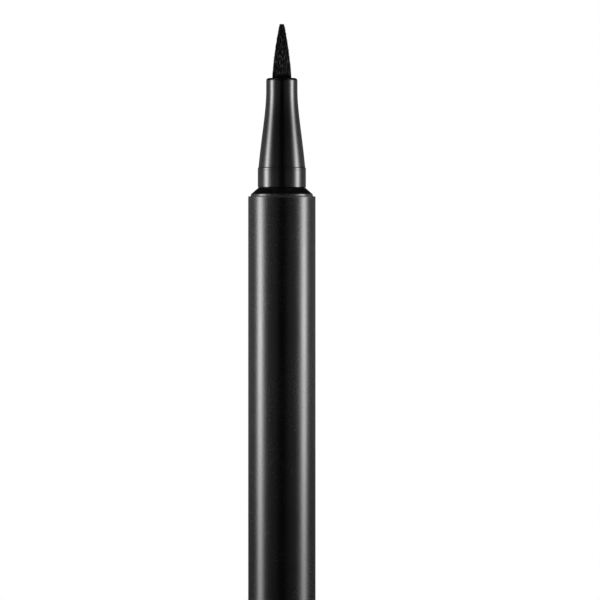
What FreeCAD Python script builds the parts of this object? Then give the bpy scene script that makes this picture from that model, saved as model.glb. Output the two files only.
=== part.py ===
"""Liquid eyeliner pen with a felt nib, a fibre reservoir and a pull-off cap posted on its tail.

Millimetres, +Z up along the pen's axis. The origin is the middle of the cap's closed end, on which
the pen stands. Heights are worked out upwards from there: cap, barrel, neck, nozzle, nib.
"""

import FreeCAD
import Part

import math
import os

from FreeCAD import Vector

# Clearances
press_clearance = 0.02  # around pieces that are pushed together and stay there
slide_clearance = 0.04  # around the collar and the post, in the cap's sleeve
play_clearance = 0.1  # around the inner cap, which runs loosely in the cap
seat_gap = 0.05  # between faces that come to rest on each other
cut_overrun = 0.5

# Barrel
barrel_diameter = 10.2
barrel_length = 88.0
barrel_wall = 0.9
barrel_front_radius = 0.12
barrel_rear_radius = 0.4
barrel_lead_in = 0.15
barrel_rib_count = 6
barrel_rib_height = 0.3
barrel_rib_width = 0.7

# Felt nib
nib_diameter = 2.9
nib_exposed_length = 8.17
nib_tip_diameter = 0.68
nib_tip_dome = 0.04
nib_flank_bulge = 0.15
nib_seat_depth = 3.0
nib_tail_depth = 5.0
nib_tail_bevel = 0.3

# Nozzle
nozzle_length = 13.61
mouth_wall = 0.9
mouth_crown = 0.06
mouth_edge_radius = 0.4
mouth_straight = 1.7
flare_lead_share = 0.28  # of the flare's length, at the mouth end
flare_trail_share = 0.45  # of the flare's length, at the seam end
flare_end_slope = 0.0945
nozzle_tail_length = 6.0
nozzle_tail_wall = 0.9
nozzle_tail_bevel = 0.3
grip_rib_count = 6
grip_rib_height = 0.45
grip_rib_width = 0.4

# Neck collar
seam_step = 0.1  # the collar stands this proud of the nozzle's foot
collar_length = 2.98
collar_edge_radius = 0.05
collar_undercut = 0.15  # the shoulder starts this far inside the collar
shoulder_height = 1.36
shoulder_inset = 0.4  # of the shoulder's flange, inside the barrel's side
flange_edge = 0.3
neck_plug_length = 9.0
neck_plug_wall = 0.8

# Sealing beads on the two plugs that close the barrel
bead_count = 3
bead_height = 0.15
bead_width = 0.7

# Reservoir
film_thickness = 0.12

# Rear plug
rear_plug_length = 7.0
rear_plug_wall = 0.8
spacer_length = 5.0
spacer_count = 4
spacer_width = 1.4
post_length = 6.0
post_wall = 0.9
post_end_wall = 1.0
post_edge_radius = 0.35

# Cap
cap_wall = 0.95
cap_end_wall = 1.2
cap_end_radius = 0.5
cap_mouth_radius = 0.15
sleeve_wall = 0.445
sleeve_margin = 0.8  # of the sleeve, past the end of the post
seat_clearance = 0.1  # around the shoulder, in the cap's mouth

# Inner cap and its spring
tip_clearance = 2.0
inner_cap_wall = 0.5
inner_cap_lip_depth = 1.0
inner_cap_lip_bevel = 0.3
inner_cap_end_wall = 0.8
inner_cap_push = 0.6  # how far the nozzle pushes the inner cap back when the cap is on
inner_cap_travel = 3.0  # until the bosses inside the spring meet
spring_length = 12.2
spring_side_clearance = 1.3
spring_wire = 0.3
spring_turns = 6
boss_clearance = 0.2
boss_wall = 0.8

# Radii that follow from the sizes above
barrel_r = barrel_diameter / 2
barrel_bore_r = barrel_r - barrel_wall
shoulder_r = barrel_r - shoulder_inset
cap_bore_r = barrel_r - cap_wall
sleeve_r = cap_bore_r - press_clearance
sleeve_bore_r = sleeve_r - sleeve_wall
collar_r = sleeve_bore_r - slide_clearance
nozzle_foot_r = collar_r - seam_step
undercut_r = collar_r - collar_undercut
nib_r = nib_diameter / 2
nib_shank_r = nib_r - grip_rib_height
nozzle_bore_r = nib_r + press_clearance
mouth_r = nozzle_bore_r + mouth_wall
nozzle_tail_r = nozzle_bore_r + nozzle_tail_wall
plug_bead_r = barrel_bore_r - press_clearance
plug_core_r = plug_bead_r - bead_height
film_r = barrel_bore_r - barrel_rib_height - press_clearance
film_bore_r = film_r - film_thickness
reservoir_r = film_bore_r - press_clearance
inner_cap_r = cap_bore_r - play_clearance
spring_wire_r = spring_wire / 2
spring_r = cap_bore_r - spring_side_clearance - spring_wire_r
boss_r = spring_r - spring_wire_r - boss_clearance
boss_core_r = boss_r - boss_wall

# Heights that follow from the sizes above
front_length = shoulder_height + collar_length + nozzle_length + nib_exposed_length
inner_cap_depth = front_length + tip_clearance
cap_length = inner_cap_depth + inner_cap_end_wall + spring_length + cap_end_wall
barrel_rear_z = cap_length + seat_gap
barrel_front_z = barrel_rear_z + barrel_length
collar_foot_z = barrel_front_z + shoulder_height
seam_z = collar_foot_z + collar_length
mouth_z = seam_z + nozzle_length
tip_z = mouth_z + nib_exposed_length
flare_top_z = mouth_z - mouth_crown - mouth_straight
nib_seat_z = mouth_z - nib_seat_depth
nozzle_tail_z = seam_z - nozzle_tail_length
neck_plug_z = barrel_front_z - neck_plug_length
rear_plug_z = barrel_rear_z + rear_plug_length
spacer_z = rear_plug_z + spacer_length
reservoir_front_z = neck_plug_z - seat_gap
reservoir_rear_z = spacer_z + seat_gap
nib_tail_z = reservoir_front_z - nib_tail_depth
post_end_z = barrel_rear_z - post_length
sleeve_end_z = post_end_z - sleeve_margin
inner_cap_top_z = sleeve_end_z - seat_gap
inner_cap_floor_z = cap_length - inner_cap_depth
inner_cap_end_z = inner_cap_floor_z - inner_cap_end_wall
spring_bottom_z = cap_end_wall + seat_gap + spring_wire_r
spring_top_z = inner_cap_end_z - seat_gap - spring_wire_r
boss_height = (spring_length - inner_cap_travel - seat_gap) / 2

AXIS = Vector(0, 0, 1)
ORIGIN = Vector(0, 0, 0)
FULL_TURN = 360
QUARTERS_PER_TURN = 4
HALVINGS = 40


def at(radius, height):
    """A point in the half plane of radius and height."""
    return Vector(radius, 0, height)


class Outline:
    """A closed outline in the half plane of radius and height, which is spun about the pen's axis."""

    def __init__(self, radius, height):
        self.start = at(radius, height)
        self.pen = self.start
        self.corner = None
        self.edges = []

    def add(self, curve, end):
        self.edges.append(curve.toShape())
        self.pen = end

    def leave_corner(self, target):
        """Rounds the corner that the outline stands at, now that the way out of it is known."""
        if self.corner is None:
            return
        corner, rounding = self.corner
        self.corner = None
        arriving = (corner - self.pen).normalize()
        leaving = (target - corner).normalize()
        half_turn = arriving.getAngle(leaving) / 2
        cut_back = rounding * math.tan(half_turn)
        begin = corner - arriving * cut_back
        end = corner + leaving * cut_back
        inwards = (leaving - arriving).normalize()
        middle = corner + inwards * (rounding / math.cos(half_turn) - rounding)
        self.add(Part.LineSegment(self.pen, begin), begin)
        self.add(Part.Arc(begin, middle, end), end)

    def line(self, radius, height, rounding=0):
        """A straight edge to a point, which is rounded off if it has a rounding."""
        target = at(radius, height)
        self.leave_corner(target)
        if rounding:
            self.corner = (target, rounding)
        else:
            self.add(Part.LineSegment(self.pen, target), target)
        return self

    def bulge(self, radius, height, rise):
        """An arc to a point, whose middle stands this far outside its chord."""
        target = at(radius, height)
        along = (target - self.pen).normalize()
        outwards = at(-along.z, along.x)
        middle = (self.pen + target) / 2 + outwards * rise
        self.add(Part.Arc(self.pen, middle, target), target)
        return self

    def flow(self, curve):
        """A smooth curve that starts where the outline stands."""
        self.add(curve, curve.EndPoint)
        return self

    def beads(self, core_radius, bead_radius, seat_height, end_height):
        """Sealing beads along the outside of a plug, spread from its seat to its end."""
        way = math.copysign(1, end_height - seat_height)
        inset = way * bead_width
        pitch = (end_height - seat_height - 2 * inset) / (bead_count - 1)
        foot = way * bead_width / 2
        crest = foot - way * bead_height
        for index in range(bead_count):
            middle = seat_height + inset + index * pitch
            self.line(core_radius, middle - foot)
            self.line(bead_radius, middle - crest)
            self.line(bead_radius, middle + crest)
            self.line(core_radius, middle + foot)
        return self

    def spin(self):
        self.line(self.start.x, self.start.z)
        return Part.Face(Part.Wire(self.edges)).revolve(ORIGIN, AXIS, FULL_TURN)


def tube(inner_radius, outer_radius, bottom, top):
    return (
        Outline(inner_radius, bottom)
        .line(outer_radius, bottom)
        .line(outer_radius, top)
        .line(inner_radius, top)
        .spin()
    )


def bar(inner_radius, outer_radius, width, bottom, top):
    """A straight bar that reaches out from the axis along +X."""
    corner = Vector(inner_radius, -width / 2, bottom)
    return Part.makeBox(outer_radius - inner_radius, width, top - bottom, corner)


def around_axis(shape, count):
    """Copies of a shape, evenly spaced about the pen's axis."""
    copies = []
    for index in range(count):
        copy = shape.copy()
        copy.rotate(ORIGIN, AXIS, index * FULL_TURN / count)
        copies.append(copy)
    return copies


def flare():
    """The nozzle's flank below its straight mouth, from the mouth down to the seam."""
    length = flare_top_z - seam_z
    lead = flare_lead_share * length
    trail = flare_trail_share * length
    curve = Part.BezierCurve()
    curve.setPoles([
        at(mouth_r, flare_top_z),
        at(mouth_r, flare_top_z - lead),
        at(nozzle_foot_r - flare_end_slope * trail, seam_z + trail),
        at(nozzle_foot_r, seam_z),
    ])
    return curve


def flare_radius(height):
    """Radius of the nozzle's flank at a height, found by halving the stretch that holds it."""
    curve = flare()
    above, below = curve.FirstParameter, curve.LastParameter
    for _ in range(HALVINGS):
        middle = (above + below) / 2
        if curve.value(middle).z > height:
            above = middle
        else:
            below = middle
    return curve.value(above).x


def make_felt_nib():
    """Pointed felt rod: the exposed point, the seat in the nozzle and the shank down to the reservoir."""
    dome_half_rise = nib_tip_dome / 4  # half of a flat arc rises a quarter as far from its own chord
    return (
        Outline(0, tip_z)
        .bulge(nib_tip_diameter / 2, tip_z - nib_tip_dome, dome_half_rise)
        .bulge(nib_r, mouth_z, nib_flank_bulge)
        .line(nib_r, nib_seat_z)
        .line(nib_shank_r, nib_seat_z)
        .line(nib_shank_r, nib_tail_z + nib_tail_bevel)
        .line(nib_shank_r - nib_tail_bevel, nib_tail_z)
        .line(0, nib_tail_z)
        .spin()
    )


def make_nozzle():
    """Flared front piece. Ribs in its bore grip the nib's shank and leave air channels between them."""
    shell = (
        Outline(nozzle_bore_r, mouth_z)
        .line(mouth_r, mouth_z - mouth_crown, mouth_edge_radius)
        .line(mouth_r, flare_top_z)
        .flow(flare())
        .line(nozzle_tail_r, seam_z)
        .line(nozzle_tail_r, nozzle_tail_z + nozzle_tail_bevel)
        .line(nozzle_tail_r - nozzle_tail_bevel, nozzle_tail_z)
        .line(nozzle_bore_r, nozzle_tail_z)
        .spin()
    )
    rib_root_r = nozzle_bore_r + nozzle_tail_wall / 2
    rib = bar(nib_shank_r + press_clearance, rib_root_r, grip_rib_width, nozzle_tail_z, nib_seat_z)
    return shell.multiFuse(around_axis(rib, grip_rib_count)).removeSplitter()


def make_neck_collar():
    """Collar that the cap slides on, with the shoulder above the barrel and the plug inside it."""
    bore_r = nozzle_tail_r + press_clearance
    chamber_r = plug_core_r - neck_plug_wall
    chamber_top_z = nozzle_tail_z - seat_gap
    return (
        Outline(bore_r, seam_z)
        .line(collar_r, seam_z, collar_edge_radius)
        .line(collar_r, collar_foot_z)
        .line(undercut_r, collar_foot_z)
        .line(shoulder_r, barrel_front_z + flange_edge)
        .line(shoulder_r, barrel_front_z)
        .line(plug_core_r, barrel_front_z)
        .beads(plug_core_r, plug_bead_r, barrel_front_z, neck_plug_z)
        .line(plug_core_r, neck_plug_z)
        .line(chamber_r, neck_plug_z)
        .line(chamber_r, chamber_top_z)
        .line(bore_r, chamber_top_z)
        .spin()
    )


def make_barrel():
    """Straight tube with rounded rims. Ribs inside hold the reservoir off the wall."""
    wall = (
        Outline(barrel_bore_r, barrel_front_z - barrel_lead_in)
        .line(barrel_bore_r + barrel_lead_in, barrel_front_z)
        .line(barrel_r, barrel_front_z, barrel_front_radius)
        .line(barrel_r, barrel_rear_z, barrel_rear_radius)
        .line(barrel_bore_r + barrel_lead_in, barrel_rear_z)
        .line(barrel_bore_r, barrel_rear_z + barrel_lead_in)
        .spin()
    )
    rib_top_r = barrel_bore_r - barrel_rib_height
    rib_root_r = barrel_bore_r + barrel_wall / 2
    rib = bar(rib_top_r, rib_root_r, barrel_rib_width, reservoir_rear_z, reservoir_front_z)
    return wall.multiFuse(around_axis(rib, barrel_rib_count)).removeSplitter()


def make_reservoir_film():
    """Film sleeve wrapped about the fibre reservoir."""
    return tube(film_bore_r, film_r, reservoir_rear_z, reservoir_front_z)


def make_ink_reservoir():
    """Fibre core that holds the liquid, with the hole that the nib's tail has pressed into it."""
    hole_r = nib_shank_r + press_clearance
    hole_end_z = nib_tail_z - seat_gap
    return (
        Outline(0, reservoir_rear_z)
        .line(reservoir_r, reservoir_rear_z)
        .line(reservoir_r, reservoir_front_z)
        .line(hole_r, reservoir_front_z)
        .line(hole_r, hole_end_z)
        .line(0, hole_end_z)
        .spin()
    )


def make_rear_plug():
    """Plug that closes the barrel, with fingers that hold the reservoir and the post that carries the cap."""
    plug_bore_r = plug_core_r - rear_plug_wall
    post_bore_r = collar_r - post_wall
    body = (
        Outline(0, post_end_z)
        .line(collar_r, post_end_z, post_edge_radius)
        .line(collar_r, barrel_rear_z - shoulder_height)
        .line(undercut_r, barrel_rear_z - shoulder_height)
        .line(shoulder_r, barrel_rear_z - flange_edge)
        .line(shoulder_r, barrel_rear_z)
        .line(plug_core_r, barrel_rear_z)
        .beads(plug_core_r, plug_bead_r, barrel_rear_z, rear_plug_z)
        .line(plug_core_r, rear_plug_z)
        .line(plug_bore_r, rear_plug_z)
        .line(plug_bore_r, barrel_rear_z + rear_plug_wall)
        .line(post_bore_r, barrel_rear_z)
        .line(post_bore_r, post_end_z + post_end_wall)
        .line(0, post_end_z + post_end_wall)
        .spin()
    )
    root_z = rear_plug_z - rear_plug_wall
    crown = tube(plug_bore_r, plug_core_r, root_z, spacer_z)
    finger = bar(0, plug_core_r + cut_overrun, spacer_width, root_z, spacer_z)
    fingers = [crown.common(copy) for copy in around_axis(finger, spacer_count)]
    return body.multiFuse(fingers).removeSplitter()


def shoulder_recess():
    """Ends of the sloping wall in the cap's mouth that goes round the shoulder, as radius and height."""
    outer = (shoulder_r + seat_clearance, cap_length - flange_edge - seat_clearance)
    inner = (sleeve_bore_r, cap_length - shoulder_height - seat_clearance)
    return outer, inner


def recess_height(radius):
    """Height of that sloping wall at a radius."""
    (outer_r, outer_z), (inner_r, inner_z) = shoulder_recess()
    return outer_z + (inner_z - outer_z) * (outer_r - radius) / (outer_r - inner_r)


def make_cap_shell():
    """Outer shell of the cap, closed at the end on which the pen stands."""
    (recess_r, recess_z), _ = shoulder_recess()
    boss_z = cap_end_wall + boss_height
    return (
        Outline(0, 0)
        .line(barrel_r, 0, cap_end_radius)
        .line(barrel_r, cap_length, cap_mouth_radius)
        .line(recess_r, cap_length)
        .line(recess_r, recess_z)
        .line(cap_bore_r, recess_height(cap_bore_r))
        .line(cap_bore_r, cap_end_wall)
        .line(boss_r, cap_end_wall)
        .line(boss_r, boss_z)
        .line(boss_core_r, boss_z)
        .line(boss_core_r, cap_end_wall)
        .line(0, cap_end_wall)
        .spin()
    )


def make_cap_sleeve():
    """Sleeve in the cap's mouth, which slides on the collar or the post and holds the inner cap in."""
    _, (bore_r, bore_top_z) = shoulder_recess()
    return (
        Outline(bore_r, sleeve_end_z)
        .line(sleeve_r, sleeve_end_z)
        .line(sleeve_r, recess_height(sleeve_r))
        .line(bore_r, bore_top_z)
        .spin()
    )


def lip_radius():
    """Radius at which the inner cap's lip meets the nozzle's flank when the cap is on."""
    lip_depth = cap_length - inner_cap_top_z + inner_cap_push
    return flare_radius(barrel_front_z + lip_depth)


def make_inner_cap():
    """Sprung cup that seals over the nib. Its lip seats on the nozzle's flank."""
    bore_r = inner_cap_r - inner_cap_wall
    lip_r = lip_radius()
    lip_foot_z = inner_cap_top_z - inner_cap_lip_depth
    undercut = bore_r - lip_r
    boss_z = inner_cap_end_z - boss_height
    return (
        Outline(0, inner_cap_end_z)
        .line(boss_core_r, inner_cap_end_z)
        .line(boss_core_r, boss_z)
        .line(boss_r, boss_z)
        .line(boss_r, inner_cap_end_z)
        .line(inner_cap_r, inner_cap_end_z)
        .line(inner_cap_r, inner_cap_top_z)
        .line(lip_r + inner_cap_lip_bevel, inner_cap_top_z)
        .line(lip_r, inner_cap_top_z - inner_cap_lip_bevel)
        .line(lip_r, lip_foot_z)
        .line(bore_r, lip_foot_z - undercut)
        .line(bore_r, inner_cap_floor_z)
        .line(0, inner_cap_floor_z)
        .spin()
    )


def spring_point(turns):
    """A point on the middle of the spring's wire, that many turns up, and the wire's direction there."""
    climb = (spring_top_z - spring_bottom_z) / spring_turns
    angle = turns * math.tau
    across = spring_r * math.cos(angle)
    along = spring_r * math.sin(angle)
    place = Vector(across, along, spring_bottom_z + climb * turns)
    direction = Vector(-along, across, climb / math.tau)
    return place, direction.normalize()


def arc_from(start, direction, end):
    """The arc that leaves a point in a direction and ends at another point."""
    chord = end - start
    half_turn = chord.getAngle(direction) / 2
    sideways = direction - chord * (direction.dot(chord) / chord.dot(chord))
    rise = chord.Length / 2 * math.tan(half_turn)
    middle = (start + end) / 2 + sideways.normalize() * rise
    return Part.Arc(start, middle, end).toShape()


def biarc(start, start_direction, end, end_direction):
    """Two arcs that join two points smoothly."""
    span = end - start
    reach = span.dot(start_direction + end_direction)
    spread = 2 * (1 - start_direction.dot(end_direction))
    handle = (math.sqrt(reach * reach + spread * span.dot(span)) - reach) / spread
    first = start + start_direction * handle
    second = end - end_direction * handle
    join = (first + second) / 2
    return [arc_from(start, start_direction, join), arc_from(join, second - first, end)]


def make_cap_spring():
    """Open coil spring between the cap's end and the inner cap."""
    quarters = range(spring_turns * QUARTERS_PER_TURN + 1)
    stations = [spring_point(quarter / QUARTERS_PER_TURN) for quarter in quarters]
    path = []
    for (start, start_direction), (end, end_direction) in zip(stations, stations[1:]):
        path += biarc(start, start_direction, end, end_direction)
    place, direction = stations[0]
    section = Part.Wire(Part.Circle(place, direction, spring_wire_r).toShape())
    return Part.Wire(path).makePipeShell([section], True, False)


def spring_gap():
    """Least gap between turns of the spring, from a point of the wire to those over half a turn away."""
    degrees = range(spring_turns * FULL_TURN + 1)
    points = [spring_point(degree / FULL_TURN)[0] for degree in degrees]
    others = points[FULL_TURN // 2 :]
    return min(points[0].distanceToPoint(other) for other in others) - spring_wire


MAKERS = {
    "felt_nib": make_felt_nib,
    "nozzle": make_nozzle,
    "neck_collar": make_neck_collar,
    "barrel": make_barrel,
    "reservoir_film": make_reservoir_film,
    "ink_reservoir": make_ink_reservoir,
    "rear_plug": make_rear_plug,
    "cap_shell": make_cap_shell,
    "cap_sleeve": make_cap_sleeve,
    "inner_cap": make_inner_cap,
    "cap_spring": make_cap_spring,
}


def main():
    os.makedirs("parts", exist_ok=True)
    for node, make in MAKERS.items():
        shape = make()
        shape.exportStep(f"parts/{node}.step")
        print(f"{node}: {len(shape.Solids)} solid, valid {shape.isValid()}, {shape.Volume:.2f} mm3")
    print(f"pen {tip_z:.3f} mm long with its cap posted, cap {cap_length:.3f} mm")
    print(f"collar radius {collar_r:.3f} mm, from {collar_foot_z:.3f} to {seam_z:.3f} mm up")
    print(f"barrel from {barrel_rear_z:.3f} to {barrel_front_z:.3f} mm up")
    print(f"inner cap from {inner_cap_floor_z:.3f} to {inner_cap_top_z:.3f} mm up")
    print(f"inner cap lip radius {lip_radius():.3f} mm")
    print(f"spring: least gap between turns {spring_gap():.2f} mm")


main()
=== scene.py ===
"""Liquid eyeliner pen, dressed: turned black plastic, a felt nib and a cap posted on the tail.

Metres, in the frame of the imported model. +Z runs up the pen's axis, and the camera looks along +Y.
"""

import math

import bpy
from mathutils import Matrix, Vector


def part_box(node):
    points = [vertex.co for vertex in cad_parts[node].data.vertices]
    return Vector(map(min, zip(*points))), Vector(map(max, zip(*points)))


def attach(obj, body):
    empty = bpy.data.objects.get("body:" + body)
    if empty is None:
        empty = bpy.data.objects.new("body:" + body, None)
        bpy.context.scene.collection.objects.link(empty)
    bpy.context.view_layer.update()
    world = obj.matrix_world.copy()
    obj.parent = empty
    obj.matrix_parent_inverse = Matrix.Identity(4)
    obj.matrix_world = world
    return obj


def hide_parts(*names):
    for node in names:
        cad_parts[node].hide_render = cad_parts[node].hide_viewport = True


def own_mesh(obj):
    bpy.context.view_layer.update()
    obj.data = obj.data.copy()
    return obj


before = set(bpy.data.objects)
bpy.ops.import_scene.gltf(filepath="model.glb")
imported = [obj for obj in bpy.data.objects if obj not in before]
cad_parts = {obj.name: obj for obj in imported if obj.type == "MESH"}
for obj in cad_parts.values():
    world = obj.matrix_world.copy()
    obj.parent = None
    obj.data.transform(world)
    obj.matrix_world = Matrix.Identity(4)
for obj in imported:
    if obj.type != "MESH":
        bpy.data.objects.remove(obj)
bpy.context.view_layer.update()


def span(node):
    """Outer radius, lowest and highest point of a turned node of the frame."""
    low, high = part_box(node)
    return high.x, low.z, high.z


# Places that the frame gives
barrel_r, barrel_rear, barrel_front = span("barrel")
shoulder_r, neck_plug_end, seam = span("neck_collar")
nozzle_foot_r, nozzle_tail, mouth = span("nozzle")
nib_r, nib_tail, tip = span("felt_nib")
core_r, core_rear, core_front = span("ink_reservoir")
film_r, film_rear, film_front = span("reservoir_film")
_, post_end, finger_end = span("rear_plug")
cap_r, cap_end, cap_mouth = span("cap_shell")
sleeve_r, sleeve_end, _ = span("cap_sleeve")
cup_r, cup_boss_end, cup_top = span("inner_cap")
coil_outer_r, _, _ = span("cap_spring")

# Clearances
press_clearance = 0.00002
seat_gap = 0.00005
broken_edge = 0.00004  # rounding of edges that are left neither sharp nor round

# Barrel
barrel_wall = 0.0009
barrel_front_rounding = 0.00012
barrel_rear_rounding = 0.0004
barrel_lead_in = 0.00015
barrel_rib_count = 6
barrel_rib_height = 0.0003
barrel_rib_width = 0.0007

# Felt nib
nib_tip_r = 0.00034
nib_tip_dome = 0.00004
nib_tip_rounding = 0.00006
nib_flank_bulge = 0.00013
nib_seat_depth = 0.003
nib_shank_step = 0.00045
nib_shank_r = nib_r - nib_shank_step
nib_tail_bevel = 0.0003
nib_hole_clearance = 0.00005
felt_unevenness = 0.00006
felt_grain = 4200  # swells to a metre
felt_seed = 7
fibre_density = 30000000  # loose ends to a square metre
fibre_length = 0.0003
fibre_r = 0.000011
fibre_tip_share = 0.3
fibre_lift_share = 0.02
fibre_spread_share = 0.22
# Painted shade on the felt where it leaves the nozzle's mouth, and where its darkening towards the point
# starts
foot_shade_start = 0.0001  # above the mouth, as the next two
foot_shade_end = 0.0007
dark_point_start = 0.001

# Nozzle
nozzle_bore_r = nib_r + press_clearance
mouth_wall = 0.0009
mouth_r = nozzle_bore_r + mouth_wall
mouth_crown = 0.00006
mouth_rounding = 0.0004
mouth_straight = 0.0017
flare_lead_share = 0.28
flare_trail_share = 0.45
flare_end_slope = 0.0945
nozzle_tail_wall = 0.0009
nozzle_tail_r = nozzle_bore_r + nozzle_tail_wall
nozzle_tail_bevel = 0.0003
seam_rounding = 0.00008
grip_rib_count = 6
grip_rib_width = 0.0004

# Neck collar and rear plug
collar_step = 0.0001
collar_r = nozzle_foot_r + collar_step
collar_undercut = 0.00015
witness_drop = 0.00036
witness_width = 0.00016
witness_depth = 0.000016
shoulder_height = 0.00136
flange_edge = 0.0003
bead_count = 3
bead_height = 0.00015
bead_width = 0.0007
plug_core_r = barrel_r - barrel_wall - press_clearance - bead_height
plug_wall = 0.0008
finger_count = 4
finger_width = 0.0014
finger_length = 0.005
post_wall = 0.0009
post_end_wall = 0.001
post_rounding = 0.00035

# Cap, inner cap and spring
cap_wall = 0.00095
cap_bore_r = cap_r - cap_wall
cap_end_wall = 0.0012
cap_end_rounding = 0.0005
cap_mouth_rounding = 0.00015
recess_clearance = 0.0001
sleeve_wall = 0.000445
sleeve_bore_r = sleeve_r - sleeve_wall
coil_wire = 0.0003
coil_turns = 6
coil_steps = 48  # to a turn
coil_sides = 14
boss_wall = 0.0008
boss_clearance = 0.0002
boss_r = coil_outer_r - coil_wire - boss_clearance
boss_height = 0.004575
cup_end = cup_boss_end + boss_height
cup_wall = 0.0005
cup_end_wall = 0.0008
cup_lip_r = 0.003218
cup_lip_depth = 0.001
cup_lip_bevel = 0.0003

# Wear
sharp_wear_reach = 0.0002  # from the corner of a sharp edge
flange_wear_reach = 0.00025  # from the middle of the flange's edge

# How finely pieces are turned
TURN_SEGMENTS = 160
ARC_POINTS = 10
CURVE_STEPS = 28
HOLD_SHARE = 1.6  # of a corner's rounding: how far along the straight wall its curved shading may reach
LATHE_R = 0.01
MERGE_DISTANCE = 0.0000005
SHARP_TURN = math.radians(20)
FIBRE_SIDES = 5
FELT_DETAIL = 3.0
NOISE_MIDDLE = 0.5


class Wiring:
    """Fills a node tree: adds nodes, sets their inputs and joins their sockets."""

    def __init__(self, tree):
        self.tree = tree

    def feed(self, socket, value):
        if isinstance(value, bpy.types.NodeSocket):
            self.tree.links.new(value, socket)
        else:
            socket.default_value = value

    def node(self, kind, inputs=None, **settings):
        node = self.tree.nodes.new(kind)
        for name, value in settings.items():
            setattr(node, name, value)
        for key, value in (inputs or {}).items():
            self.feed(node.inputs[key], value)
        return node

    def math(self, operation, *values, clamp=False):
        node = self.node("ShaderNodeMath", dict(enumerate(values)), operation=operation, use_clamp=clamp)
        return node.outputs["Value"]

    def vector_math(self, operation, *values):
        node = self.node("ShaderNodeVectorMath", dict(enumerate(values)), operation=operation)
        return node.outputs["Vector"]

    def scaled(self, vector, factor):
        node = self.node("ShaderNodeVectorMath", {0: vector, "Scale": factor}, operation="SCALE")
        return node.outputs["Vector"]

    def length(self, vector):
        return self.node("ShaderNodeVectorMath", {0: vector}, operation="LENGTH").outputs["Value"]

    def noise(self, place, scale, detail):
        inputs = {"Vector": place, "Scale": scale, "Detail": detail}
        return self.node("ShaderNodeTexNoise", inputs).outputs["Fac"]

    def ramp_up(self, value, start, end, low=0.0, high=1.0):
        """A smooth step of a value, from low at start to high at end."""
        inputs = {"Value": value, "From Min": start, "From Max": end, "To Min": low, "To Max": high}
        return self.node("ShaderNodeMapRange", inputs, interpolation_type="SMOOTHSTEP").outputs["Result"]


class Outline:
    """Half section of a turned piece: its corners in order, up the outside and back down the inside."""

    def __init__(self, radius, height, rounding=0):
        self.corners = []
        self.to(radius, height, rounding)

    def to(self, radius, height, rounding=0):
        self.corners.append((radius, height, rounding))
        return self

    def follow(self, points, end_rounding=0):
        """Adds the points of a curve, the last of them with a rounding."""
        *points, (end_radius, end_height) = points
        for radius, height in points:
            self.to(radius, height)
        return self.to(end_radius, end_height, end_rounding)

    def beads(self, bottom, top):
        """Sealing beads on a plug, spread between two heights."""
        pitch = (top - bottom - 2 * bead_width) / (bead_count - 1)
        foot = bead_width / 2
        crest = foot - bead_height
        crest_r = plug_core_r + bead_height
        for index in range(bead_count):
            middle = bottom + bead_width + index * pitch
            self.to(plug_core_r, middle - foot)
            self.to(crest_r, middle - crest, broken_edge)
            self.to(crest_r, middle + crest, broken_edge)
            self.to(plug_core_r, middle + foot)
        return self

    def shoulder(self, barrel_end, way):
        """The slope between collar and barrel: above the barrel where way is 1, below it where it is -1."""
        slope = [
            (shoulder_r, barrel_end, 0),
            (shoulder_r, barrel_end + way * flange_edge, broken_edge),
            (collar_r - collar_undercut, barrel_end + way * shoulder_height, 0),
            (collar_r, barrel_end + way * shoulder_height, broken_edge),
        ]
        for corner in slope[::way]:
            self.to(*corner)
        return self

    def held_corners(self, closed):
        """The corners, with a point beside each rounding that keeps its shading off the wall next to it."""
        ends = self.corners[1:] + self.corners[:1] if closed else self.corners[1:]
        for (r0, z0, rounding0), (r1, z1, rounding1) in zip(self.corners, ends):
            length = math.hypot(r1 - r0, z1 - z0)
            yield r0, z0, rounding0
            for along in (HOLD_SHARE * rounding0, length - HOLD_SHARE * rounding1):
                if 0 < along < length and length > HOLD_SHARE * (rounding0 + rounding1):
                    share = along / length
                    yield r0 + (r1 - r0) * share, z0 + (z1 - z0) * share, 0
        if not closed:
            yield self.corners[-1]

    def mesh(self, name):
        closed = self.corners[0][0] > 0
        corners = list(self.held_corners(closed))
        count = len(corners)
        edges = [(index, (index + 1) % count) for index in range(count if closed else count - 1)]
        mesh = bpy.data.meshes.new(name)
        mesh.from_pydata([(radius, 0, height) for radius, height, _ in corners], edges, [])
        attribute = mesh.attributes.new("rounding", "FLOAT", "POINT")
        attribute.data.foreach_set("value", [rounding for _, _, rounding in corners])
        return mesh


def arc_points(start, end, rise):
    """Points of an arc from start to end, as radius and height, that stands rise outside its chord."""
    (r0, z0), (r1, z1) = start, end
    chord = math.hypot(r1 - r0, z1 - z0)
    radius = (chord * chord / 4 + rise * rise) / (2 * rise)
    half_angle = math.asin(chord / 2 / radius)
    along_r, along_z = (r1 - r0) / chord, (z1 - z0) / chord
    out_r, out_z = along_z, -along_r
    for step in range(1, CURVE_STEPS + 1):
        angle = half_angle * (2 * step / CURVE_STEPS - 1)
        along = chord / 2 + radius * math.sin(angle)
        out = radius * math.cos(angle) - radius * math.cos(half_angle)
        yield r0 + along_r * along + out_r * out, z0 + along_z * along + out_z * out


def flare_points():
    """Points up the nozzle's flank, from the seam to its straight mouth, on one Bezier curve."""
    top = mouth - mouth_crown - mouth_straight
    length = top - seam
    lead = flare_lead_share * length
    trail = flare_trail_share * length
    poles = [
        (nozzle_foot_r, seam),
        (nozzle_foot_r - flare_end_slope * trail, seam + trail),
        (mouth_r, top - lead),
        (mouth_r, top),
    ]
    degree = len(poles) - 1
    for step in range(1, CURVE_STEPS + 1):
        share = step / CURVE_STEPS
        weights = [
            math.comb(degree, k) * share**k * (1 - share) ** (degree - k) for k in range(degree + 1)
        ]
        yield tuple(sum(w * pole[axis] for w, pole in zip(weights, poles)) for axis in range(2))


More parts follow.
